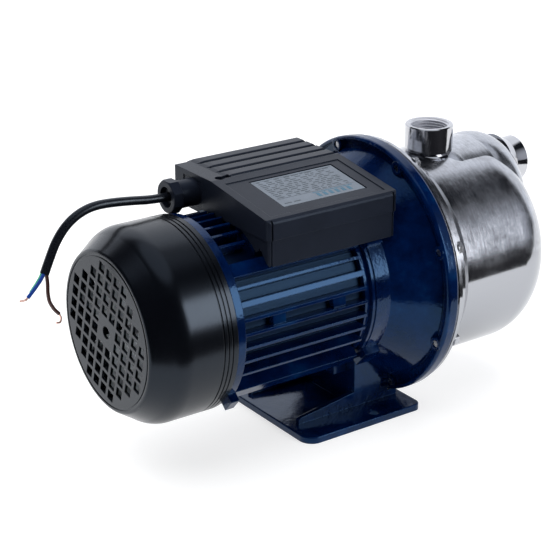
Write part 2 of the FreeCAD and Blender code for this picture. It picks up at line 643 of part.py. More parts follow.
def foot():
    plate = box(FOOT_X0, FOOT_X1, -FOOT_HALF_W, FOOT_HALF_W, 0, FOOT_T)
    for (x, y), r in (((FOOT_X0, 1), 12.0), ((FOOT_X1, 1), 7.0)):
        upright = [e for e in plate.Edges if len(e.Vertexes) == 2
                   and abs(e.Vertexes[0].X - x) < 0.01 and abs(e.Vertexes[1].X - x) < 0.01
                   and abs(e.Vertexes[0].Z - e.Vertexes[1].Z) > 1]
        plate = plate.makeFillet(r, upright)
    rim = [e for e in plate.Edges if all(abs(v.Z - FOOT_T) < 0.01 for v in e.Vertexes)]
    plate = plate.makeFillet(1.2, rim)
    pedestal = box(PEDESTAL_X0, PEDESTAL_X1, -PEDESTAL_HALF_W, PEDESTAL_HALF_W, 1, 60)
    walls = []
    for side in (-1, 1):
        y0, y1 = sorted((side * (PEDESTAL_HALF_W - 4.0), side * PEDESTAL_HALF_W))
        profile = [vec(-93, y0, 1), vec(-93, y0, 9.4), vec(-91, y0, 10.8),
                   vec(PEDESTAL_X0 + 1, y0, 19.0), vec(PEDESTAL_X0 + 1, y0, 1), vec(-93, y0, 1)]
        walls.append(Part.Face(Part.makePolygon(profile)).extrude(vec(0, y1 - y0, 0)))
    core = box(PEDESTAL_X0 + 5, PEDESTAL_X1 - 4, -PEDESTAL_HALF_W + 4, PEDESTAL_HALF_W - 4,
               -1, 26)
    column = box(-33, -9, -12, 12, 1, 60)
    body = fuse([plate, pedestal] + walls).cut(core).fuse(column.common(
        box(-33, -9, -12, 12, 0.5, 60)))
    keep_out = fuse([bracket_outline(), rod(-0.4, FLANGE_T + 0.4, FLANGE_R + 0.4),
                     box(NECK_X0, -8, -24, 24, AXIS_Z - 80, AXIS_Z - 60),
                     rod(-60, NECK_X0, 78.0), rod(FLANGE_T, 20, CASING_FLANGE_R + 1)])
    ears = [turned(box(NECK_X0 - 1, -32.5, 60, 80.5, AXIS_Z - 9.5, AXIS_Z + 9.5), a)
            for a in ROD_ANGLES]
    body = body.cut(keep_out).cut(Part.makeCompound(ears))
    holes = [post(FOOT_HOLE_X, s * FOOT_HOLE_Y, -1, FOOT_T + 1, FOOT_HOLE_R) for s in (-1, 1)]
    holes += [post(x, 0, -1, 60, 3.3) for x in FOOT_SCREW_X]
    holes += [post(x, 0, -1, 20, 6.5) for x in FOOT_SCREW_X]
    holes += [rod(-8, 0, 4.5, y, z) for y, z in flange_bolt_spots()]
    body = body.cut(Part.makeCompound(holes))
    return sorted(body.Solids, key=lambda s: s.Volume)[-1]


def foot_screws():
    screws = []
    for x in FOOT_SCREW_X:
        shank = post(x, 0, 20, AXIS_Z - 65, M6_R)
        head = post(x, 0, 14.5, 20, 5.0)
        socket = post(x, 0, 14, 17.5, 2.5)
        screws.append(shank.fuse(head).cut(socket))
    return Part.makeCompound(screws)


# ---------------------------------------------------------------- terminal box

def box_screw_spots():
    return ((-130.0, 30.0), (-130.0, -30.0), (-56.0, 30.0), (-56.0, -30.0))


def cover_screw_spot():
    return -133.5, 13.6


def box_slab(z0, z1, inset):
    slab = box(BOX_X0 + inset, BOX_X1 - inset, -BOX_HALF_W + inset, BOX_HALF_W - inset, z0, z1)
    upright = [e for e in slab.Edges if abs(e.Vertexes[0].Z - e.Vertexes[1].Z) > 1]
    return slab.makeFillet(max(4.0 - inset, 1.0), upright)


def over_housing(clear):
    """Everything of the motor that the box must stay off, as one solid."""
    return rod(BOX_X0 - 5, BOX_X1 + 15, NECK_R + clear)


def bell_clearance():
    """The bracket's bell and the tie rod ears, grown by a little, for pieces that stay off them."""
    bell = spin([(-31, 0), (-31, NECK_R + 0.8), (-29.6, NECK_R + 0.8), (3, 98.8), (3, 0)])
    ears = [turned(box(HOUSING_X0, -32, 58, 81.0, AXIS_Z - 9.8, AXIS_Z + 9.8), a)
            for a in ROD_ANGLES[:2]]
    return Part.makeCompound([bell] + ears)


def corner_grooves():
    """Upright grooves down both ends of the box's front face."""
    return [box(x, x + 1.6, -BOX_HALF_W - 1, -BOX_HALF_W + 2.2, BOX_LOW_Z - 1, BOX_RIB_Z)
            for x in (BOX_X0 + 3.4, BOX_X1 - 5.0)]


def terminal_box_base():
    """Floor on the housing's pad, a skirt down the front and a raised seat for the gland."""
    floor_z0, floor_z1 = AXIS_Z + 70.0, AXIS_Z + 72.6
    skirts = box_slab(BOX_LOW_Z, BOX_SPLIT_Z + 0.4, 1.4)
    skirts = skirts.cut(box(BOX_X0 - 1, BOX_X1 + 1, 15, BOX_HALF_W + 1, BOX_LOW_Z - 1, AXIS_Z + 66))
    tray = box_slab(BOX_SPLIT_Z - 2, AXIS_Z + 76.0, 2.8)
    slab = skirts.fuse(tray).cut(over_housing(0.8))
    slab = slab.cut(box(-138.4, -47.6, -40.4, 40.4, AXIS_Z + 40, floor_z0))
    slab = slab.cut(bell_clearance())
    slab = slab.cut(box(-30.6, BOX_X1 + 1, -50, 50, 0, floor_z0))
    hollow = box_slab(floor_z1, AXIS_Z + 77.0, 4.6)
    body = slab.cut(hollow)
    tower = box(BOX_X0 + 0.6, BOX_X0 + 4.4, GLAND_Y - 13, GLAND_Y + 13, AXIS_Z + 70,
                GLAND_Z + 10.8)
    x, y = cover_screw_spot()
    body = fuse([body, tower, post(x, y, floor_z1 - 1, AXIS_Z + 76.0, 5.5)])
    cuts = [post(x, y, AXIS_Z + 69.5, AXIS_Z + 80, 1.2)]
    cuts += [post(x, y, AXIS_Z + 68, AXIS_Z + 75, 1.8) for x, y in box_screw_spots()]
    cuts += [box(-110, -80, -14, 14, AXIS_Z + 60, AXIS_Z + 75)]
    cuts += [rod(BOX_X0 - 1, BOX_X0 + 6, 8.0, GLAND_Y, GLAND_Z)]
    cuts += corner_grooves()
    return body.cut(Part.makeCompound(cuts)).removeSplitter()


def cover_solid(drop):
    """The cover's outer volume: flat half, slope to the front; drop moves its faces in."""
    w = BOX_HALF_W - drop
    x0, x1 = BOX_X0 + drop, BOX_X1 - drop
    z0 = AXIS_Z + 70.4
    top = BOX_TOP_Z - drop
    line = [vec(x0, w, z0), vec(x0, w, top - 3), vec(x0, w - 1, top - 1), vec(x0, w - 3, top),
            vec(x0, SLOPE_TOP[0] + 2.5, top), vec(x0, SLOPE_TOP[0], SLOPE_TOP[1] - drop),
            vec(x0, SLOPE_LOW[0], SLOPE_LOW[1] - drop),
            vec(x0, -w + 0.8, BOX_FRONT_Z - 0.8 - drop), vec(x0, -w, BOX_FRONT_Z - 2.5 - drop),
            vec(x0, -w, z0), vec(x0, w, z0)]
    block = Part.Face(Part.makePolygon(line)).extrude(vec(x1 - x0, 0, 0))
    return block.common(box_slab(z0, BOX_RIB_Z, drop))


def cover_ribs():
    """Flat-topped ribs that rise out of the cover's left margin."""
    x0, x1 = -133.0, BOX_X1 - 1.2
    low, high = BOX_GROOVE_Z - 2.0, BOX_RIB_Z
    side = [vec(x0, 0, low), vec(x0, 0, BOX_TOP_Z - 1.2), vec(x0 + 3, 0, BOX_TOP_Z - 0.2),
            vec(x0 + 8, 0, high - 0.3), vec(x0 + 13, 0, high), vec(x1 - 2.0, 0, high),
            vec(x1, 0, high - 2.0), vec(x1, 0, low), vec(x0, 0, low)]
    ribs = []
    for y in RIB_SPOTS:
        bar = box(x0 - 1, x1 + 1, y - RIB_HALF_W, y + RIB_HALF_W, low, high)
        tops = [e for e in bar.Edges if all(abs(v.Z - high) < 0.01 for v in e.Vertexes)]
        bar = bar.makeFillet(1.4, [e for e in tops if e.Length > 50])
        profile = Part.Face(Part.makePolygon(side)).extrude(vec(0, 2 * RIB_HALF_W + 2, 0))
        ribs.append(bar.common(profile.translated(vec(0, y - RIB_HALF_W - 1, 0))))
    return ribs


def terminal_box_cover():
    body = cover_solid(0.0)
    body = body.cut(cover_solid(BOX_WALL).fuse(cover_solid(BOX_WALL).translated(vec(0, 0, -2))))
    body = body.fuse(box(-126, BOX_X1 - 2.6, 12, 63.2, BOX_GROOVE_Z - 2.2, BOX_GROOVE_Z))
    body = body.cut(box(-126.0, BOX_X1 + 1, 12.6, BOX_HALF_W + 1, BOX_GROOVE_Z, BOX_RIB_Z + 1))
    body = fuse([body] + cover_ribs())
    tower_gap = box(BOX_X0 - 1, BOX_X0 + 4.8, GLAND_Y - 13.4, GLAND_Y + 13.4, AXIS_Z + 69,
                    GLAND_Z + 11.2)
    x, y = cover_screw_spot()
    body = body.fuse(post(x, y, AXIS_Z + 76.2, AXIS_Z + 96, 5.8)).cut(tower_gap)
    trough = post(x, y, AXIS_Z + 92, AXIS_Z + 100, 4.0)
    trough = trough.fuse(box(x, x + 9, y - 2.6, y + 2.6, AXIS_Z + 95.4, AXIS_Z + 100))
    body = body.cut(trough)
    body = body.cut(post(x, y, AXIS_Z + 75, AXIS_Z + 100, 1.9))
    field = slope_slab(109.0, 62.0, -81.6, -28.4, 0.6, 3.0)
    cuts = [field, label_recess(), bell_clearance()] + corner_grooves()
    return body.cut(Part.makeCompound(cuts)).removeSplitter()


def slope_slab(length, width, mid_x, mid_y, depth, above):
    """A slab lying in the cover's slope, from depth below its surface to above it."""
    slab = box(-length / 2, length / 2, -width / 2, width / 2, -depth, above)
    slope = (SLOPE_TOP[1] - SLOPE_LOW[1]) / (SLOPE_TOP[0] - SLOPE_LOW[0])
    slab.rotate(vec(0, 0, 0), X_AXIS, math.degrees(math.atan(slope)))
    slab.translate(vec(mid_x, mid_y, SLOPE_TOP[1] - (SLOPE_TOP[0] - mid_y) * slope))
    return slab


def label_recess():
    return slope_slab(LABEL_L + 2.0, LABEL_W + 2.0, LABEL_X, LABEL_Y, 1.6, 3.0)


def name_plate():
    return slope_slab(LABEL_L, LABEL_W, LABEL_X, LABEL_Y, 1.6, -1.0)


def cover_screw():
    x, y = cover_screw_spot()
    shank = post(x, y, AXIS_Z + 70, AXIS_Z + 92, 1.2)
    head = post(x, y, AXIS_Z + 92, AXIS_Z + 94.4, 3.4)
    slot = box(x - 2.4, x + 2.4, y - 0.4, y + 0.4, AXIS_Z + 93.4, AXIS_Z + 95)
    cross = box(x - 0.4, x + 0.4, y - 2.4, y + 2.4, AXIS_Z + 93.4, AXIS_Z + 95)
    return shank.fuse(head).cut(slot).cut(cross)


def box_screws():
    screws = []
    for x, y in box_screw_spots():
        shank = post(x, y, AXIS_Z + 63, AXIS_Z + 72.6, 1.8)
        head = post(x, y, AXIS_Z + 72.6, AXIS_Z + 75.0, 3.6)
        slot = box(x - 2.4, x + 2.4, y - 0.4, y + 0.4, AXIS_Z + 74.2, AXIS_Z + 76)
        screws.append(shank.fuse(head).cut(slot))
    return Part.makeCompound(screws)


def terminal_block():
    body = box(-76, -48, -2, 16, AXIS_Z + 72.6, AXIS_Z + 84)
    wells = [post(x, y, AXIS_Z + 79, AXIS_Z + 85, 2.6)
             for x in (-71, -62, -53) for y in (2.5, 11.5)]
    return body.cut(Part.makeCompound(wells))


def capacitor():
    return rod(-122, -62, 6.6, -24, AXIS_Z + 79.2)


# ---------------------------------------------------------------- gland and cord

def gland_body():
    thread = rod(-160, -136, 8.0, GLAND_Y, GLAND_Z)
    collar = rod(-160, BOX_X0 + 0.6, 11.2, GLAND_Y, GLAND_Z)
    return thread.fuse(collar).cut(rod(-161, -135, CORD_D / 2 + 0.8, GLAND_Y, GLAND_Z))


def gland_nut():
    """Eight-sided cap nut with a deep round mouth."""
    corners = []
    for i in range(9):
        a = math.radians(45 * i + 22.5)
        corners.append(vec(GLAND_NUT_X, GLAND_Y + GLAND_NUT_R * math.cos(a),
                           GLAND_Z + GLAND_NUT_R * math.sin(a)))
    nut = Part.Face(Part.makePolygon(corners)).extrude(vec(-160.0 - GLAND_NUT_X, 0, 0))
    rounding = rod(GLAND_NUT_X, -160.0, GLAND_NUT_R, GLAND_Y, GLAND_Z)
    ends = [e for e in rounding.Edges if abs(e.Vertexes[0].X - GLAND_NUT_X) < 0.01
            and abs(e.Vertexes[-1].X - GLAND_NUT_X) < 0.01]
    nut = nut.common(rounding.makeFillet(2.0, ends))
    mouth = rod(GLAND_NUT_X - 1, -163.0, 8.4, GLAND_Y, GLAND_Z)
    return nut.cut(mouth).cut(rod(-164, -159, 7.0, GLAND_Y, GLAND_Z))


def gland_seal():
    return tube(-164.6, -160, 7.0, CORD_D / 2, GLAND_Y, GLAND_Z)


def cord_points():
    """Route of the cord from inside the gland to its stripped end."""
    x, z = -178.0, GLAND_Z
    points = [vec(-157.0, GLAND_Y, GLAND_Z), vec(x, GLAND_Y, z)]
    for degrees, run in ((171, 23), (174, 22), (182, 13), (198, 12), (214, 12), (230, 13),
                         (243, 13.5), (246, 13.5)):
        a = math.radians(degrees)
        x += run * math.cos(a)
        z += run * math.sin(a)
        points.append(vec(x, GLAND_Y, z))
    return points


def supply_cord():
    return bend_tube(cord_points(), CORD_D)


def core_routes():
    """Routes of the three cores below the stripped end: start, insulated end and bare end."""
    end = cord_points()[-1]
    x, y, z = end.x, end.y, end.z
    green = [vec(x - 0.6, y + 1.7, z + 0.4), vec(x - 3.0, y + 2.2, z - 4.2),
             vec(x - 6.8, y + 2.4, z - 9.0), vec(x - 10.8, y + 2.8, z - 13.8)]
    blue = [vec(x - 1.4, y - 1.6, z + 0.6), vec(x - 4.8, y - 2.6, z - 3.4),
            vec(x - 10.6, y - 3.4, z - 8.8), vec(x - 16.6, y - 3.6, z - 14.4)]
    brown = [vec(x + 1.5, y - 0.4, z - 0.4), vec(x + 1.8, y - 1.0, z - 7.4),
             vec(x + 0.9, y - 2.0, z - 15.4), vec(x + 1.4, y - 2.8, z - 22.4),
             vec(x + 5.2, y - 3.4, z - 29.6), vec(x + 8.6, y - 3.6, z - 33.4)]
    return green, blue, brown


def strand_routes():
    green, blue, brown = core_routes()
    g, b, n = green[-1], blue[-1], brown[-1]
    return ([g, g + vec(-2.4, 0.1, -2.8), g + vec(-4.6, 0.0, -5.2)],
            [b, b + vec(-3.0, 0.0, -1.6), b + vec(-6.8, -0.4, -0.8)],
            [n, n + vec(1.8, 0.0, -3.8), n + vec(0.8, 0.0, -7.6), n + vec(-2.6, 0.0, -7.0)])


# ---------------------------------------------------------------- write

def build_nodes():
    front = bearing(-41.5, 8.5, 20.0, 12.0, 3.37)
    rear = bearing(-174.0, 7.5, 17.5, 11.0, 2.97)
    priming, drain = plug_spots()
    green, blue, brown = core_routes()
    strands = [bend_tube(route, STRAND_D) for route in strand_routes()]
    return {
        "pump_casing": pump_casing(),
        "suction_port": suction_port(),
        "discharge_port": discharge_port(),
        "priming_plug": plug(*priming),
        "priming_plug_washer": plug_washer(*priming),
        "drain_plug": plug(*drain),
        "drain_plug_washer": plug_washer(*drain),
        "casing_bolts": casing_bolts(),
        "casing_o_ring": casing_o_ring(),
        "seal_plate": seal_plate(),
        "diffuser": diffuser(),
        "venturi_tube": venturi_tube(),
        "ejector_body": ejector_body(),
        "ejector_nozzle": ejector_nozzle(),
        "impeller": impeller(),
        "impeller_nut": impeller_nut(),
        "impeller_key": shaft_key(),
        "seal_seat": seal_seat(),
        "seal_head": seal_head(),
        "seal_bellows": seal_bellows(),
        "bracket": bracket(),
        "front_bearing_outer": front[0],
        "front_bearing_inner": front[1],
        "front_bearing_balls": front[2],
        "front_bearing_cage": front[3],
        "rear_bearing_outer": rear[0],
        "rear_bearing_inner": rear[1],
        "rear_bearing_balls": rear[2],
        "rear_bearing_cage": rear[3],
        "wave_washer": wave_washer(),
        "shaft": shaft(),
        "rotor_core": rotor_core(),
        "stator_core": stator_core(),
        "stator_windings": stator_windings(),
        "motor_housing": motor_housing(),
        "rear_end_shield": rear_end_shield(),
        "tie_rods": tie_rods(),
        "fan": fan(),
        "fan_clip": fan_clip(),
        "fan_cover": fan_cover(),
        "foot": foot(),
        "foot_screws": foot_screws(),
        "terminal_box_base": terminal_box_base(),
        "terminal_box_cover": terminal_box_cover(),
        "cover_screw": cover_screw(),
        "box_screws": box_screws(),
        "terminal_block": terminal_block(),
        "capacitor": capacitor(),
        "name_plate": name_plate(),
        "gland_body": gland_body(),
        "gland_nut": gland_nut(),
        "gland_seal": gland_seal(),
        "supply_cord": supply_cord(),
        "core_green_yellow": bend_tube(green, CORE_D),
        "core_blue": bend_tube(blue, CORE_D),
        "core_brown": bend_tube(brown, CORE_D),
        "core_strands": Part.makeCompound(strands),
    }


def main():
    os.makedirs("parts", exist_ok=True)
    for name, shape in build_nodes().items():
        solids = len(shape.Solids)
        print(name, "solids", solids, "valid", shape.isValid(), "volume", round(shape.Volume))
        shape.exportStep(os.path.join("parts", name + ".step"))


main()
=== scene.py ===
import json
import math

import bmesh
import bpy
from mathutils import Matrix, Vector


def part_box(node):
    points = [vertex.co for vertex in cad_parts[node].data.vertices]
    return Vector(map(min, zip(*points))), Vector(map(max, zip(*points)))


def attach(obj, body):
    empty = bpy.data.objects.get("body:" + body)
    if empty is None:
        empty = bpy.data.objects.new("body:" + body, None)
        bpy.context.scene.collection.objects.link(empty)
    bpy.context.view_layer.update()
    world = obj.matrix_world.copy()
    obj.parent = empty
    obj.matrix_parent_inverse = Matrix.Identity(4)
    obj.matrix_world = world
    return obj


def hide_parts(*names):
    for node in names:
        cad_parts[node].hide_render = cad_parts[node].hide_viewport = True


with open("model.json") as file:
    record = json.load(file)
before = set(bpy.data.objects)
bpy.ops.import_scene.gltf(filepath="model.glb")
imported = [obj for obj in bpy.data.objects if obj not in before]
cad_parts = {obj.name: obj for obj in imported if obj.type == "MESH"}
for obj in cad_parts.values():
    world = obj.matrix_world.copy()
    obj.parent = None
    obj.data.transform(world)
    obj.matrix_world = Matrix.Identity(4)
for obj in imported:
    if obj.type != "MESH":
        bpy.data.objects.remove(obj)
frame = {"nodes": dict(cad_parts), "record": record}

MM = 0.001
AXIS_Z = 113.6            # shaft height, millimetres
FIN_ROOT_R, FIN_FACE_R = 63.5, 67.0   # paint is dull and painted darker as shade below the first, glossy and in full colour past the second
CLOUD_SHEEN_LOW_Z, CLOUD_SHEEN_HIGH_Z = 112.0, 128.0   # the casing's sheet turns cloudy, with a painted sheen lightening its colour, between these
PUMP = "pump"
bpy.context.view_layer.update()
NODES = frame["nodes"]
SLOTS = {s["node"]: s["material_slot"] for s in frame["record"]["subparts"]}


# ---------------------------------------------------------------- materials

def new_material(name):
    mat = bpy.data.materials.new(name)
    mat.use_nodes = True
    tree = mat.node_tree
    shader = tree.nodes["Principled BSDF"]
    coords = tree.nodes.new("ShaderNodeTexCoord").outputs["Object"]
    return mat, tree, shader, coords


def noise(tree, coords, scale, detail=3.0, rough=0.5, stretch=(1, 1, 1)):
    mapping = tree.nodes.new("ShaderNodeMapping")
    mapping.inputs["Scale"].default_value = stretch
    tree.links.new(coords, mapping.inputs["Vector"])
    tex = tree.nodes.new("ShaderNodeTexNoise")
    tex.inputs["Scale"].default_value = scale
    tex.inputs["Detail"].default_value = detail
    tex.inputs["Roughness"].default_value = rough
    tree.links.new(mapping.outputs["Vector"], tex.inputs["Vector"])
    return tex.outputs["Fac"]


def ramp(tree, value, stops):
    node = tree.nodes.new("ShaderNodeValToRGB")
    elements = node.color_ramp.elements
    while len(elements) < len(stops):
        elements.new(0.5)
    for element, (at, colour) in zip(elements, stops):
        element.position = at
        element.color = (*colour, 1.0)
    tree.links.new(value, node.inputs["Fac"])
    return node.outputs["Color"]


def spread(tree, value, low, high, from_low=0.3, from_high=0.7):
    node = tree.nodes.new("ShaderNodeMapRange")
    node.inputs["From Min"].default_value = from_low
    node.inputs["From Max"].default_value = from_high
    node.inputs["To Min"].default_value = low
    node.inputs["To Max"].default_value = high
    tree.links.new(value, node.inputs["Value"])
    return node.outputs["Result"]


def bump(tree, shader, height, strength, distance, round_edges=0.0):
    """Surface grain; round_edges softens sharp corners so that they catch the light."""
    node = tree.nodes.new("ShaderNodeBump")
    if round_edges:
        soft = tree.nodes.new("ShaderNodeBevel")
        soft.samples = 4
        soft.inputs["Radius"].default_value = round_edges
        tree.links.new(soft.outputs["Normal"], node.inputs["Normal"])
    node.inputs["Strength"].default_value = strength
    node.inputs["Distance"].default_value = distance
    tree.links.new(height, node.inputs["Height"])
    tree.links.new(node.outputs["Normal"], shader.inputs["Normal"])


def shade(base, amount):
    return tuple(min(1.0, max(0.0, c * amount)) for c in base)


def solid_finish(name, base, rough, metallic=0.0, vary=0.12, patch=40.0, grain=900.0,
                 grain_depth=0.00002, rough_vary=0.06, coat=0.0, coat_rough=0.1,
                 stretch=(1, 1, 1), specular=0.5, tint=(1, 1, 1), round_edges=0.0):
    """One finish: slow colour patches, roughness variation and a fine surface grain."""
    mat, tree, shader, coords = new_material(name)
    shader.inputs["Metallic"].default_value = metallic
    shader.inputs["Coat Weight"].default_value = coat
    shader.inputs["Coat Roughness"].default_value = coat_rough
    shader.inputs["Specular IOR Level"].default_value = specular
    shader.inputs["Specular Tint"].default_value = (*tint, 1)
    slow = noise(tree, coords, patch, 4.0, 0.6)
    colour = ramp(tree, slow, [(0.3, shade(base, 1 - vary)), (0.7, shade(base, 1 + vary))])
    tree.links.new(colour, shader.inputs["Base Color"])
    fine = noise(tree, coords, grain, 3.0, 0.6, stretch)
    tree.links.new(spread(tree, fine, rough - rough_vary, rough + rough_vary),
                   shader.inputs["Roughness"])
    bump(tree, shader, fine, 1.0, grain_depth, round_edges)
    return mat


def mixed(tree, first, second, amount):
    """Blend two numbers: amount 0 gives the first, 1 the second."""
    node = tree.nodes.new("ShaderNodeMix")
    node.data_type = "FLOAT"
    node.inputs["Factor"].default_value = amount
    tree.links.new(first, node.inputs["A"])
    tree.links.new(second, node.inputs["B"])
    return node.outputs["Result"]


def combine(tree, operation, first, second):
    """One arithmetic step on two linked numbers."""
    node = tree.nodes.new("ShaderNodeMath")
    node.operation = operation
    tree.links.new(first, node.inputs[0])
    tree.links.new(second, node.inputs[1])
    return node.outputs[0]


def shaft_distance(tree, coords):
    """Distance of a surface point from the shaft's centre line."""
    centred = tree.nodes.new("ShaderNodeMapping")
    centred.inputs["Location"].default_value = (0, 0, -AXIS_Z * MM)
    centred.inputs["Scale"].default_value = (0, 1, 1)
    tree.links.new(coords, centred.inputs["Vector"])
    length = tree.nodes.new("ShaderNodeVectorMath")
    length.operation = "LENGTH"
    tree.links.new(centred.outputs["Vector"], length.inputs[0])
    return length.outputs["Value"]


def cast_paint():
    """Glossy navy enamel on rough castings, duller near the shaft and between the fins, and painted
    darker there as shade.
    """
    mat, tree, shader, coords = new_material("navy_paint")
    shader.inputs["Specular IOR Level"].default_value = 0.45
    shader.inputs["Specular Tint"].default_value = (0.24, 0.54, 1.0, 1)
    open_face = spread(tree, shaft_distance(tree, coords), 0.0, 1.0,
                       FIN_ROOT_R * MM, FIN_FACE_R * MM)
    slow = noise(tree, coords, 38, 4.0, 0.65)
    # painted shade: depth darkens the enamel's colour towards the fin roots, where the gaps between
    # the fins lie in shade
    depth = combine(tree, "MULTIPLY", slow, spread(tree, open_face, 0.45, 1.0, 0.0, 1.0))
    tree.links.new(ramp(tree, depth, [(0.15, (0.0001, 0.0010, 0.007)),
                                      (0.34, (0.0002, 0.0028, 0.019)),
                                      (0.55, (0.0003, 0.0064, 0.040)),
                                      (0.75, (0.0005, 0.0170, 0.068))]),
                   shader.inputs["Base Color"])
    peel = noise(tree, coords, 420, 2.0, 0.5)
    cast = noise(tree, coords, 130, 3.0, 0.6)
    gloss = spread(tree, slow, 0.07, 0.16)
    dull = spread(tree, open_face, 0.60, 0.0, 0.0, 1.0)
    tree.links.new(combine(tree, "MAXIMUM", gloss, dull), shader.inputs["Roughness"])
    bump(tree, shader, mixed(tree, peel, cast, 0.65), 1.0, 0.00022, 0.0009)
    return mat


def polished_steel():
    """Turned stainless fittings: nearly a mirror, with faint tool marks."""
    return solid_finish("polished_steel", (0.50, 0.505, 0.53), 0.09, metallic=1.0, vary=0.05,
                        grain=500, grain_depth=0.000004, rough_vary=0.03, stretch=(1, 1, 6))


def brushed_steel():
    """Stainless sheet: fine lines round the barrel, cloudy and painted lighter above mid height as a
    sheen, mirror-like and darker below.
    """
    mat, tree, shader, coords = new_material("stainless")
    shader.inputs["Metallic"].default_value = 1.0
    split = tree.nodes.new("ShaderNodeSeparateXYZ")
    tree.links.new(coords, split.inputs[0])
    upper = spread(tree, split.outputs["Z"], 0.15, 1.0, CLOUD_SHEEN_LOW_Z * MM, CLOUD_SHEEN_HIGH_Z * MM)
    blotch = noise(tree, coords, 34, 6.0, 0.68, (0.9, 1.3, 1.3))
    lines = noise(tree, coords, 420, 3.0, 0.6, (1.6, 0.25, 0.25))
    cloud_and_sheen = combine(tree, "MULTIPLY", mixed(tree, blotch, lines, 0.30), upper)
    # painted sheen: the colour lightens above mid height, as if the top caught more light, and stays
    # darker below; the roughness change is the sheet's finish
    tree.links.new(ramp(tree, cloud_and_sheen, [(0.05, (0.36, 0.37, 0.395)),
                                      (0.40, (0.36, 0.37, 0.395)),
                                      (0.62, (0.56, 0.58, 0.63))]),
                   shader.inputs["Base Color"])
    tree.links.new(spread(tree, cloud_and_sheen, 0.05, 0.27, 0.10, 0.62), shader.inputs["Roughness"])
    bump(tree, shader, mixed(tree, blotch, lines, 0.5), 1.0, 0.000016)
    return mat


def make_finishes():
    f = {}
    f["blue_paint"] = cast_paint()
    f["cover_black"] = solid_finish("cover_black", (0.0018, 0.0022, 0.0034), 0.22, vary=0.1,
                                    grain=1500, grain_depth=0.00001, rough_vary=0.03,
                                    specular=0.38, tint=(0.66, 0.80, 1.0), round_edges=0.0005)
    f["box_black"] = solid_finish("box_charcoal", (0.0088, 0.0112, 0.0190), 0.34, vary=0.12,
                                  grain=1500, grain_depth=0.00003, rough_vary=0.05,
                                  specular=0.15, tint=(0.62, 0.78, 1.0), round_edges=0.0007)
    f["cord_black"] = solid_finish("cord_black", (0.005, 0.006, 0.009), 0.30, grain=800,
                                   grain_depth=0.00001, tint=(0.75, 0.86, 1.0))
    f["stainless"] = brushed_steel()
    f["polished"] = polished_steel()
    f["thread"] = solid_finish("cut_thread", (0.62, 0.63, 0.68), 0.45, metallic=0.45)
    f["steel"] = solid_finish("steel", (0.32, 0.32, 0.34), 0.3, metallic=1.0)
    f["zinc"] = solid_finish("zinc", (0.42, 0.43, 0.46), 0.28, metallic=1.0)
    f["lamination"] = solid_finish("lamination", (0.16, 0.16, 0.17), 0.5, metallic=0.9,
                                   stretch=(8, 0.1, 0.1))
    f["rotor_aluminium"] = solid_finish("rotor_aluminium", (0.6, 0.6, 0.62), 0.4, metallic=1.0)
    f["winding"] = solid_finish("winding_lacquer", (0.30, 0.09, 0.03), 0.3, vary=0.25, grain=700,
                                grain_depth=0.0003, coat=0.5)
    f["fan_grey"] = solid_finish("fan_grey", (0.80, 0.84, 0.88), 0.42)
    f["noryl"] = solid_finish("moulded_black", (0.03, 0.03, 0.03), 0.45)
    f["impeller_brass"] = solid_finish("impeller_brass", (0.50, 0.33, 0.13), 0.35, metallic=1.0)
    f["seal_ceramic"] = solid_finish("seal_ceramic", (0.8, 0.78, 0.72), 0.2)
    f["seal_carbon"] = solid_finish("seal_carbon", (0.03, 0.03, 0.035), 0.35)
    f["capacitor_white"] = solid_finish("capacitor_white", (0.7, 0.7, 0.68), 0.35)
    f["terminal_black"] = solid_finish("terminal_black", (0.03, 0.03, 0.03), 0.4)
    f["plate_silver"] = solid_finish("plate_silver", (0.12, 0.145, 0.18), 0.4, metallic=0.2)
    f["core_green_yellow"] = solid_finish("core_green", (0.04, 0.42, 0.20), 0.35)
    f["core_blue"] = solid_finish("core_blue", (0.006, 0.045, 0.26), 0.35)
    f["core_brown"] = solid_finish("core_brown", (0.055, 0.018, 0.015), 0.35)
    f["copper"] = solid_finish("copper", (0.80, 0.50, 0.42), 0.35, metallic=0.8)
    return f


FINISHES = make_finishes()


def paint_nodes():
    for name, obj in NODES.items():
        mat = FINISHES[SLOTS[name]]
        if not obj.material_slots:
            obj.data.materials.append(mat)
        for place in obj.material_slots:
            place.material = mat


paint_nodes()

# ---------------------------------------------------------------- mesh helpers

def mesh_object(name, bm, mat):
    mesh = bpy.data.meshes.new(name)
    bm.to_mesh(mesh)
    bm.free()
    mesh.materials.append(mat)
    obj = bpy.data.objects.new(name, mesh)
    bpy.context.collection.objects.link(obj)
    return obj


def add_prism(bm, corners, lift):
    """A closed thin prism: corners in order round its base, lifted by a vector."""
    base = [bm.verts.new(c) for c in corners]
    top = [bm.verts.new(Vector(c) + lift) for c in corners]
    bm.faces.new(list(reversed(base)))
    bm.faces.new(top)
    for i in range(len(corners)):
        j = (i + 1) % len(corners)
        bm.faces.new((base[i], base[j], top[j], top[i]))


# ---------------------------------------------------------------- threaded ports

PITCH = 2.309             # G1 pipe thread, millimetres
THREAD_DEPTH = 1.3
BORE_R, PASSAGE_R, SOCKET_R = 15.2, 12.5, 20.15
THREAD_L, THREAD_FADE = 18.0, 4.0     # threaded depth, and the run-out at its end
BORE_L = 20.0             # depth of the wide bore
LEAD_IN = 1.9             # chamfer inside the mouth
RIM = 0.8                 # chamfer outside the mouth
FLAT = 0.12               # share of a half pitch that is flat, at crest and at root
DISCHARGE_X = 67.0
SUCTION_Z = AXIS_Z + 62.8
TURN_STEPS, DEPTH_STEP = 96, 0.2


def thread_radius(depth, turn):
    """Radius of the threaded wall at a depth below the mouth and a part of a turn round it."""
    phase = (depth / PITCH + turn) % 1.0
    groove = 1.0 - abs(2.0 * phase - 1.0)
    flank = min(1.0, max(0.0, (groove - FLAT) / (1.0 - 2 * FLAT)))
    fade = min(1.0, max(0.0, (THREAD_L - depth) / THREAD_FADE))
    return BORE_R + THREAD_DEPTH * flank * fade


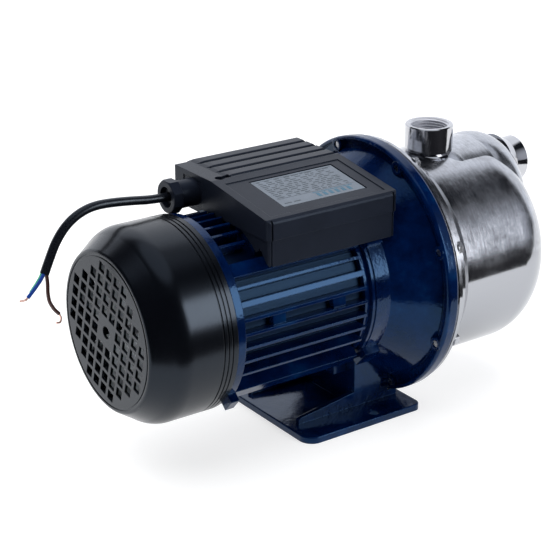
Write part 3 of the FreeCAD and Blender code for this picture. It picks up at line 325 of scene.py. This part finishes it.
def threaded_port(name, node, outline, frame_of):
    """A welded socket as one closed lathe mesh; outline is (depth below the mouth, radius)."""
    rows = [[(depth, radius)] * TURN_STEPS for depth, radius in outline]
    rows.append([(0.0, SOCKET_R - RIM)] * TURN_STEPS)
    rows.append([(0.0, BORE_R + LEAD_IN)] * TURN_STEPS)
    steps = int(THREAD_L / DEPTH_STEP)
    for i in range(4, steps + 1):
        depth = DEPTH_STEP * i
        mouth = BORE_R + max(0.0, LEAD_IN - depth)
        rows.append([(depth, max(mouth, thread_radius(depth, t / TURN_STEPS)))
                     for t in range(TURN_STEPS)])
    rows.append([(BORE_L, BORE_R)] * TURN_STEPS)
    rows.append([(BORE_L, PASSAGE_R)] * TURN_STEPS)
    rows.append([(outline[0][0], PASSAGE_R)] * TURN_STEPS)
    bm = bmesh.new()
    rings = []
    for row in rows:
        ring = []
        for t, (depth, radius) in enumerate(row):
            a = 2 * math.pi * t / TURN_STEPS
            ring.append(bm.verts.new(frame_of(depth, radius * math.cos(a), radius * math.sin(a))))
        rings.append(ring)
    cut = range(len(outline) + 1, len(rings) - 3)
    for i, (low, high) in enumerate(zip(rings, rings[1:] + rings[:1])):
        for t in range(TURN_STEPS):
            u = (t + 1) % TURN_STEPS
            face = bm.faces.new((low[t], low[u], high[u], high[t]))
            face.material_index = 1 if i in cut else 0
    bmesh.ops.recalc_face_normals(bm, faces=bm.faces)
    obj = mesh_object(name, bm, FINISHES["polished"])
    obj.data.materials.append(FINISHES["thread"])
    for face in obj.data.polygons:
        face.use_smooth = True
    split = obj.modifiers.new("edges", "EDGE_SPLIT")
    split.split_angle = math.radians(32)
    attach(obj, PUMP)
    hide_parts(node)


def make_ports():
    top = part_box("discharge_port")[1][2] / MM
    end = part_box("suction_port")[1][0] / MM

    def upright(depth, a, b):
        return ((DISCHARGE_X + a) * MM, b * MM, (top - depth) * MM)

    def level(depth, a, b):
        return ((end - depth) * MM, a * MM, (SUCTION_Z + b) * MM)

    threaded_port("discharge_socket", "discharge_port",
                  [(28.6, 24.5), (27.8, 24.5), (21.9, 17.9), (22.1, 17.4), (22.4, 19.35),
                   (21.7, SOCKET_R), (RIM, SOCKET_R)], upright)
    threaded_port("suction_socket", "suction_port",
                  [(30.0, 16.9), (22.2, 16.9), (22.2, 25.0), (12.8, 20.3), (12.2, SOCKET_R),
                   (RIM, SOCKET_R)], level)


make_ports()


# ---------------------------------------------------------------- name plate

PLATE_ROWS = 11
INK = 0.00006             # thickness of the printed marks


def plate_frame():
    """Corner, unit vectors along and up the plate, its normal and its two sides."""
    mesh = NODES["name_plate"].data
    face = max((p for p in mesh.polygons if p.normal.z > 0.5), key=lambda p: p.area)
    normal = face.normal.copy()
    along = Vector((1, 0, 0))
    up = normal.cross(along).normalized()
    height = max(v.co.dot(normal) for v in mesh.vertices)
    lefts = [v.co.dot(along) for v in mesh.vertices]
    ups = [v.co.dot(up) for v in mesh.vertices]
    corner = along * min(lefts) + up * min(ups) + normal * height
    return corner, along, up, normal, max(lefts) - min(lefts), max(ups) - min(ups)


def make_plate_marks():
    """Plain printed bars and a table of short dashes; nothing that can be read."""
    corner, along, up, normal, wide, high = plate_frame()
    ink = solid_finish("plate_ink", (0.03, 0.045, 0.06), 0.45)
    accent = solid_finish("plate_accent", (0.01, 0.09, 0.15), 0.4)

    def mark(bm, x0, y0, x1, y1):
        spots = [(x0, y0), (x1, y0), (x1, y1), (x0, y1)]
        corners = [corner + along * (x * wide) + up * (y * high) for x, y in spots]
        add_prism(bm, corners, normal * INK)

    table = bmesh.new()
    for row in range(PLATE_ROWS):
        y = 0.30 + 0.62 * row / (PLATE_ROWS - 1)
        x = 0.05
        while x < 0.90:
            length = 0.035 + 0.05 * ((row * 5 + int(x * 40) * 3) % 7) / 6
            mark(table, x, y, min(x + length, 0.94), y + 0.026)
            x += length + 0.022 + 0.02 * ((row + int(x * 30)) % 3)
    for y in (0.265, 0.955):
        mark(table, 0.03, y, 0.97, y + 0.008)
    for x in (0.05, 0.16):
        mark(table, x, 0.08, x + 0.08, 0.11)
    made = mesh_object("plate_print", table, ink)
    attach(made, PUMP)
    band = bmesh.new()
    for i in range(6):
        mark(band, 0.46 + 0.075 * i, 0.07, 0.50 + 0.075 * i, 0.19)
    mark(band, 0.44, 0.215, 0.93, 0.235)
    made = mesh_object("plate_bars", band, accent)
    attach(made, PUMP)


make_plate_marks()


# ---------------------------------------------------------------- cord

CORD_D = 7.2
GLAND = (37.1, AXIS_Z + 82.0)         # y and z of the gland's axis
CORD_EXIT_X, GLAND_MOUTH_X = -157.0, -178.0


def cord_points():
    """Control points of the lead in its gland's upright plane, from (direction, run) pairs."""
    x, z = GLAND_MOUTH_X, GLAND[1]
    points = [(CORD_EXIT_X, GLAND[0], z), (x, GLAND[0], z)]
    for degrees, run in ((171, 23), (174, 22), (182, 13), (198, 12), (214, 12), (230, 13),
                         (243, 13.5), (246, 13.5)):
        a = math.radians(degrees)
        x += run * math.cos(a)
        z += run * math.sin(a)
        points.append((x, GLAND[0], z))
    return points


def nurbs(name, points, diameter, mat, body=PUMP):
    data = bpy.data.curves.new(name, "CURVE")
    data.dimensions = "3D"
    data.bevel_depth = diameter / 2 * MM
    data.bevel_resolution = 5
    data.use_fill_caps = True
    spline = data.splines.new("NURBS")
    spline.points.add(len(points) - 1)
    for point, (x, y, z) in zip(spline.points, points):
        point.co = (x * MM, y * MM, z * MM, 1)
    spline.order_u = 3
    spline.use_endpoint_u = True
    spline.resolution_u = 12
    obj = bpy.data.objects.new(name, data)
    bpy.context.collection.objects.link(obj)
    data.materials.append(mat)
    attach(obj, body)
    return obj


def make_cord():
    route = cord_points()
    cord = nurbs("cord_sheath", route, CORD_D, FINISHES["cord_black"])
    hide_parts("supply_cord")


make_cord()


# ---------------------------------------------------------------- stage, light and camera

FLOOR_HALF = 60.0
FLOOR_GLOW = 0.68         # keeps the paper white in the object's own shade
CARD_EDGE = Vector((0.0, -0.29, 0.003))
CARD_TURN = math.radians(-10)


def make_floor():
    mesh = bpy.data.meshes.new("floor")
    corners = [(-1, -1), (1, -1), (1, 1), (-1, 1)]
    mesh.from_pydata([(FLOOR_HALF * x, FLOOR_HALF * y, 0) for x, y in corners], [], [(0, 1, 2, 3)])
    obj = bpy.data.objects.new("floor", mesh)
    bpy.context.collection.objects.link(obj)
    mat, tree, shader, coords = new_material("floor_paper")
    slow = noise(tree, coords, 3.0)
    tree.links.new(ramp(tree, slow, [(0.3, (0.44, 0.44, 0.44)), (0.7, (0.47, 0.47, 0.47))]),
                   shader.inputs["Base Color"])
    shader.inputs["Roughness"].default_value = 0.7
    shader.inputs["Emission Color"].default_value = (1.0, 1.0, 1.0, 1)
    shader.inputs["Emission Strength"].default_value = FLOOR_GLOW
    mesh.materials.append(mat)


def make_dark_card():
    """A black card lying in front of the paper, seen only in reflections."""
    mesh = bpy.data.meshes.new("dark_card")
    along = Vector((math.cos(CARD_TURN), math.sin(CARD_TURN), 0))
    out = Vector((along.y, -along.x, 0))
    near = [CARD_EDGE - FLOOR_HALF * along, CARD_EDGE + FLOOR_HALF * along]
    far = [p + FLOOR_HALF * out for p in reversed(near)]
    mesh.from_pydata([tuple(p) for p in near + far], [], [(0, 1, 2, 3)])
    obj = bpy.data.objects.new("dark_card", mesh)
    bpy.context.collection.objects.link(obj)
    mat, tree, shader, coords = new_material("card_black")
    slow = noise(tree, coords, 4.0)
    tree.links.new(ramp(tree, slow, [(0.3, (0.010, 0.010, 0.012)), (0.7, (0.014, 0.014, 0.016))]),
                   shader.inputs["Base Color"])
    shader.inputs["Roughness"].default_value = 0.9
    shader.inputs["Specular IOR Level"].default_value = 0.0
    mesh.materials.append(mat)
    obj.visible_camera = False
    obj.visible_diffuse = False
    obj.visible_shadow = False


def area_light(name, place, target, size, power, size_y=None):
    data = bpy.data.lights.new(name, "AREA")
    data.energy = power
    data.size = size
    if size_y:
        data.shape = "RECTANGLE"
        data.size_y = size_y
    obj = bpy.data.objects.new(name, data)
    bpy.context.collection.objects.link(obj)
    obj.location = place
    aim = Vector(target) - Vector(place)
    obj.rotation_mode = "QUATERNION"
    obj.rotation_quaternion = aim.to_track_quat("-Z", "Y")
    return obj


def toward(azimuth, elevation):
    """Unit vector; azimuth turns from +Y to +X."""
    a, e = math.radians(azimuth), math.radians(elevation)
    return (math.sin(a) * math.cos(e), math.cos(a) * math.cos(e), math.sin(e))


def glow(tree, way, centre, stops):
    """A patch of light in the surroundings, fading with the cosine of the angle to its centre."""
    facing = tree.nodes.new("ShaderNodeVectorMath")
    facing.operation = "DOT_PRODUCT"
    tree.links.new(way, facing.inputs[0])
    facing.inputs[1].default_value = centre
    return ramp(tree, facing.outputs["Value"], stops)


def lighten(tree, first, second):
    mix = tree.nodes.new("ShaderNodeMix")
    mix.data_type = "RGBA"
    mix.blend_type = "LIGHTEN"
    mix.inputs["Factor"].default_value = 1.0
    tree.links.new(first, mix.inputs["A"])
    tree.links.new(second, mix.inputs["B"])
    return mix.outputs["Result"]


def make_world():
    """A dark studio: lit ceiling, pale wall behind the object and a soft box to the front right."""
    world = bpy.data.worlds.new("studio")
    bpy.context.scene.world = world
    world.use_nodes = True
    tree = world.node_tree
    back = tree.nodes["Background"]
    way = tree.nodes.new("ShaderNodeTexCoord").outputs["Generated"]
    ceiling = glow(tree, way, (0, 0, 1), [(0.84, (0.0, 0.0, 0.0)), (0.90, (0.72, 0.75, 0.82))])
    wall = glow(tree, way, toward(35.4, 0), [(0.42, (0.012, 0.014, 0.019)),
                                             (0.55, (1.15, 1.18, 1.25))])
    softbox = glow(tree, way, toward(138, 15), [(0.84, (0.0, 0.0, 0.0)),
                                                (0.985, (0.50, 0.52, 0.58))])
    tree.links.new(lighten(tree, lighten(tree, ceiling, wall), softbox), back.inputs["Color"])
    back.inputs["Strength"].default_value = 1.0


def make_lights():
    make_world()
    data = bpy.data.lights.new("ceiling_wash", "SUN")
    data.energy = 2.7
    data.angle = math.radians(75)
    wash = bpy.data.objects.new("ceiling_wash", data)
    wash.rotation_euler = (math.radians(-14), math.radians(-10), 0)
    wash.visible_glossy = False
    bpy.context.collection.objects.link(wash)
    area_light("front_right", (0.34, -0.87, 0.46), (-0.20, -0.07, 0.147), 0.42, 4.2, 0.55)
    fill = area_light("left_fill", (-1.10, -0.42, 0.42), (-0.22, 0, 0.115), 0.30, 1.4)
    fill.visible_glossy = False


FRAME_PX = 560
LENS_PX = 1619.3          # focal length in pixels of a frame that wide
CAMERA_AZ, CAMERA_EL = 35.4, 21.93
CAMERA_PLACE = (-0.78836, -0.98880, 0.60733)


def make_camera():
    data = bpy.data.cameras.new("camera")
    data.sensor_width = 36.0
    data.lens = LENS_PX / FRAME_PX * data.sensor_width
    cam = bpy.data.objects.new("camera", data)
    bpy.context.collection.objects.link(cam)
    a, e = math.radians(CAMERA_AZ), math.radians(CAMERA_EL)
    ahead = Vector((math.sin(a) * math.cos(e), math.cos(a) * math.cos(e), -math.sin(e)))
    cam.location = CAMERA_PLACE
    cam.rotation_mode = "QUATERNION"
    cam.rotation_quaternion = ahead.to_track_quat("-Z", "Y")
    data.clip_start, data.clip_end = 0.05, 30
    bpy.context.scene.camera = cam


make_floor()
make_dark_card()
make_lights()
make_camera()
bpy.context.scene.view_settings.view_transform = "Standard"
